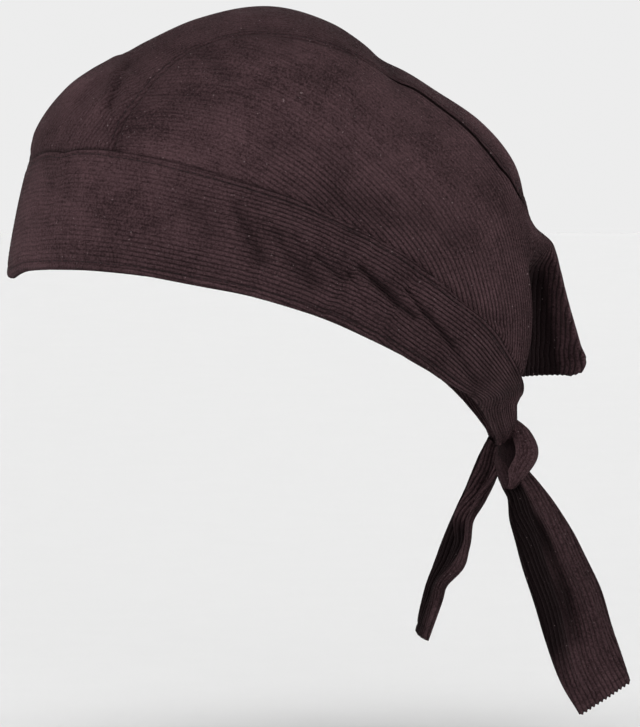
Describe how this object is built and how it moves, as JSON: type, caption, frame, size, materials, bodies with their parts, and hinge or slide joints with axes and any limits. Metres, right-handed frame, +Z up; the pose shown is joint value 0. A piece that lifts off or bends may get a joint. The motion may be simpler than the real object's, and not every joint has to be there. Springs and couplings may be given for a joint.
{
  "type": "tied skullcap",
  "caption": "Close-fitting needlecord skullcap with a wide headband, a long center panel ending in a tail flap, side panels, and band ends knotted at the nape.",
  "frame": {"origin": "middle of the head opening, level with the front edge of the headband, where the cap sits on a head", "axes": "+Z up towards the crown, +Y to the back of the head, +X to the wearer's left"},
  "size_m": [0.152, 0.2554, 0.2908],
  "materials": {
    "crown": "matt dark brown needlecord",
    "band": "matt dark brown needlecord, doubled",
    "tie": "matt dark brown needlecord, doubled"
  },
  "bodies": {
    "root": {"headband": "band", "crown_center_panel": "crown", "crown_side_left": "crown", "crown_side_right": "crown", "tie_knot": "tie", "tie_tail_left": "tie", "tie_tail_right": "tie"}
  },
  "joints": []
}
